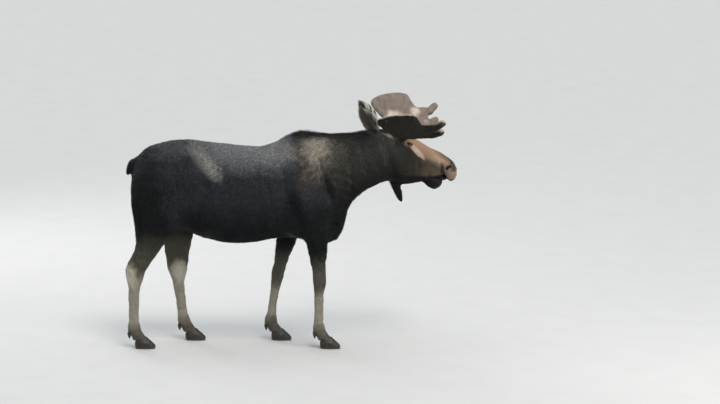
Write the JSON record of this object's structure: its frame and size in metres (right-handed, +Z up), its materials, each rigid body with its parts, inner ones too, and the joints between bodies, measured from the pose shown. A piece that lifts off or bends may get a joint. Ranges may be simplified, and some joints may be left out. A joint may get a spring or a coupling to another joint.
{
  "type": "bull moose figure",
  "caption": "Life-size standing bull moose in summer coat, with cupped palmate antlers in velvet, long overhanging muzzle, hanging bell and a walking stance.",
  "frame": {"origin": "bottom centre of the bounding box, on the floor", "axes": "+X from tail to nose, +Y to the animal's left, +Z up"},
  "size_m": [2.7848, 0.977, 2.0807],
  "materials": {
    "coat": "short dense summer hair, near black with a soft grey sheen on the back and brown-grey on the shoulder",
    "face_coat": "very short hair, tan on the nose and muzzle and dark on cheek and ears",
    "leg_coat": "short pale grey-brown hair, palest by the hock",
    "velvet": "matt velvet skin with a short nap",
    "horn": "worn dark horn with growth rings",
    "eye": "wet gloss"
  },
  "bodies": {
    "root": {"antler_left_beam": "velvet", "antler_left_brow_inner": "velvet", "antler_left_brow_outer": "velvet", "antler_left_palm": "velvet", "antler_right_beam": "velvet", "antler_right_brow_inner": "velvet", "antler_right_brow_outer": "velvet", "antler_right_palm": "velvet", "bell": "coat", "dewclaw_fore_left_inner": "horn", "dewclaw_fore_left_outer": "horn", "dewclaw_fore_right_inner": "horn", "dewclaw_fore_right_outer": "horn", "dewclaw_hind_left_inner": "horn", "dewclaw_hind_left_outer": "horn", "dewclaw_hind_right_inner": "horn", "dewclaw_hind_right_outer": "horn", "ear_left": "face_coat", "ear_right": "face_coat", "eye_left": "eye", "eye_right": "eye", "foreleg_left_cannon": "leg_coat", "foreleg_left_forearm": "coat", "foreleg_left_pastern": "leg_coat", "foreleg_right_cannon": "leg_coat", "foreleg_right_forearm": "coat", "foreleg_right_pastern": "leg_coat", "head": "face_coat", "hindleg_left_cannon": "leg_coat", "hindleg_left_pastern": "leg_coat", "hindleg_left_thigh": "coat", "hindleg_right_cannon": "leg_coat", "hindleg_right_pastern": "leg_coat", "hindleg_right_thigh": "coat", "hoof_fore_left_inner": "horn", "hoof_fore_left_outer": "horn", "hoof_fore_right_inner": "horn", "hoof_fore_right_outer": "horn", "hoof_hind_left_inner": "horn", "hoof_hind_left_outer": "horn", "hoof_hind_right_inner": "horn", "hoof_hind_right_outer": "horn", "lower_jaw": "face_coat", "neck": "coat", "tail": "coat", "trunk": "coat"}
  },
  "joints": []
}
